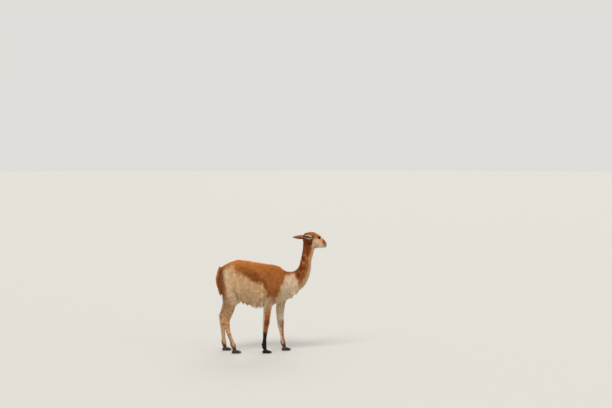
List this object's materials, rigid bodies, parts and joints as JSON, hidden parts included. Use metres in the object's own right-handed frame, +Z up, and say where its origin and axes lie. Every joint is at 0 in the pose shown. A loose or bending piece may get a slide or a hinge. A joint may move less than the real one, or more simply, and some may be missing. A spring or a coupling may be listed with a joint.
{
  "type": "standing vicuna figure",
  "caption": "Life-size standing vicuna, head turned a little aside, ears laid back, long shaggy coat on chest and belly.",
  "frame": {"origin": "on the floor, under the middle of the box round the whole animal", "axes": "+X towards the head, +Y to the animal's left, +Z up"},
  "size_m": [1.1432, 0.3478, 1.242],
  "materials": {
    "body_coat": "woolly fur, fawn over the back, cream on flank and belly",
    "neck_coat": "short woolly fur, chestnut",
    "tail_coat": "hanging woolly fur, chestnut brown",
    "face_coat": "short fur, fawn with a pale chin",
    "ear_coat": "short fur, brown outside and white on the rim",
    "leg_coat": "short fur, tan",
    "foot_skin": "dark damp skin and fur",
    "nail": "horny, dull black",
    "eye": "wet, near black"
  },
  "bodies": {
    "root": {"torso": "body_coat", "neck": "neck_coat", "tail": "tail_coat", "head": "face_coat", "ear_right": "ear_coat", "ear_left": "ear_coat", "eye_right": "eye", "eye_left": "eye", "foreleg_right": "leg_coat", "foreleg_right_foot": "foot_skin", "foreleg_right_nail_outer": "nail", "foreleg_right_nail_inner": "nail", "foreleg_left": "leg_coat", "foreleg_left_foot": "foot_skin", "foreleg_left_nail_outer": "nail", "foreleg_left_nail_inner": "nail", "hindleg_right": "leg_coat", "hindleg_right_foot": "foot_skin", "hindleg_right_nail_outer": "nail", "hindleg_right_nail_inner": "nail", "hindleg_left": "leg_coat", "hindleg_left_foot": "foot_skin", "hindleg_left_nail_outer": "nail", "hindleg_left_nail_inner": "nail"}
  },
  "joints": []
}
